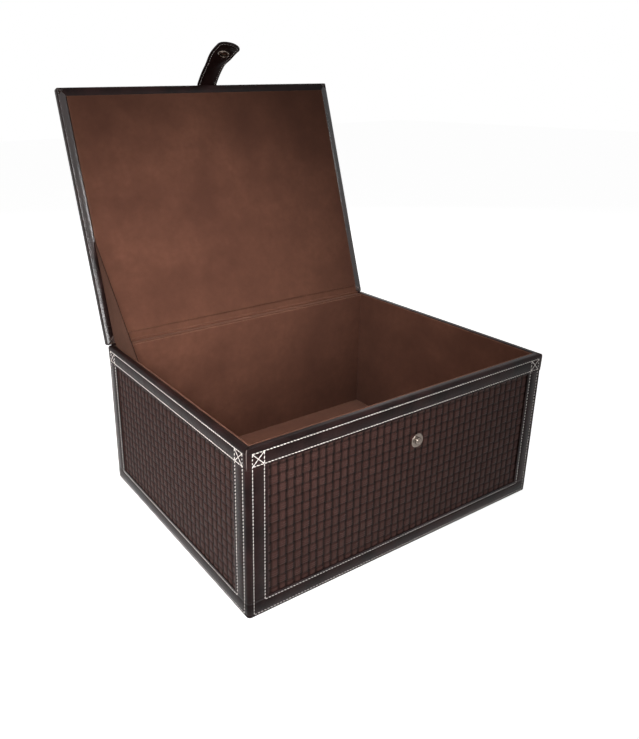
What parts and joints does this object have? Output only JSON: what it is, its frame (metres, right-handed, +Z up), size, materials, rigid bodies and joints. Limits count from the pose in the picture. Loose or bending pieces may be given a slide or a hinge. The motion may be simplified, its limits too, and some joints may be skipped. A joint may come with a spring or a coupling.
{
  "type": "stationery box",
  "caption": "Leather covered box with a hinged lid held open by a suede gusset, woven-pattern panels, stitched borders and a strap that snaps on a stud.",
  "frame": {"origin": "middle of the underside of the box", "axes": "+X to the right seen from the front, +Y to the back where the hinge is, +Z up; the lid is open"},
  "size_m": [0.4, 0.4191, 0.5199],
  "materials": {
    "smooth_leather": "smooth, semi-gloss dark brown",
    "embossed_leather": "embossed basket weave, satin dark brown",
    "suede": "brushed brown suede",
    "board": "plain fibreboard",
    "snap_metal": "polished nickel"
  },
  "bodies": {
    "box": {"bottom_board": "board", "front_board": "board", "back_board": "board", "left_board": "board", "right_board": "board", "panel_front": "embossed_leather", "panel_back": "embossed_leather", "panel_left": "embossed_leather", "panel_right": "embossed_leather", "corner_strip_front_left": "smooth_leather", "corner_strip_front_right": "smooth_leather", "corner_strip_rear_left": "smooth_leather", "corner_strip_rear_right": "smooth_leather", "base_strip": "smooth_leather", "base_cover": "smooth_leather", "rim_strip": "smooth_leather", "lining_front": "suede", "lining_back": "suede", "lining_left": "suede", "lining_right": "suede", "lining_floor": "suede", "snap_stud": "snap_metal", "stud_washer": "snap_metal", "spine_leather": "smooth_leather", "hinge_cloth": "suede", "lid_stay": "suede"},
    "lid": {"lid_board": "board", "lid_panel": "embossed_leather", "lid_border_front": "smooth_leather", "lid_border_left": "smooth_leather", "lid_border_right": "smooth_leather", "lid_lining": "suede", "strap_sewn_end": "smooth_leather"},
    "strap_root": {"strap_upper": "smooth_leather"},
    "strap_tip": {"strap_lower": "smooth_leather", "snap_socket": "snap_metal", "snap_cap": "snap_metal"}
  },
  "joints": [
    {"name": "lid_hinge", "type": "hinge", "parent": "box", "child": "lid", "pos_m": [0, 0.1535, 0.17915], "axis": [1, 0, 0], "range_deg": [0, 108.4], "deforming": ["spine_leather", "hinge_cloth", "lid_stay"]},
    {"name": "strap_fold", "type": "hinge", "parent": "lid", "child": "strap_root", "pos_m": [0.0075, 0.26016, 0.46858], "axis": [1, 0, 0], "range_deg": [0, 24.75], "stiffness_Nm_per_rad": 0.06, "springref_deg": -8.59},
    {"name": "strap_unbend", "type": "hinge", "parent": "strap_root", "child": "strap_tip", "pos_m": [0.0075, 0.22998, 0.50093], "axis": [0.7439, 0.4823, -0.4626], "range_deg": [-30.12, 0]}
  ],
  "couplings": [
    {"joint": "strap_unbend", "follows": "strap_fold", "ratio": -1.2168}
  ]
}
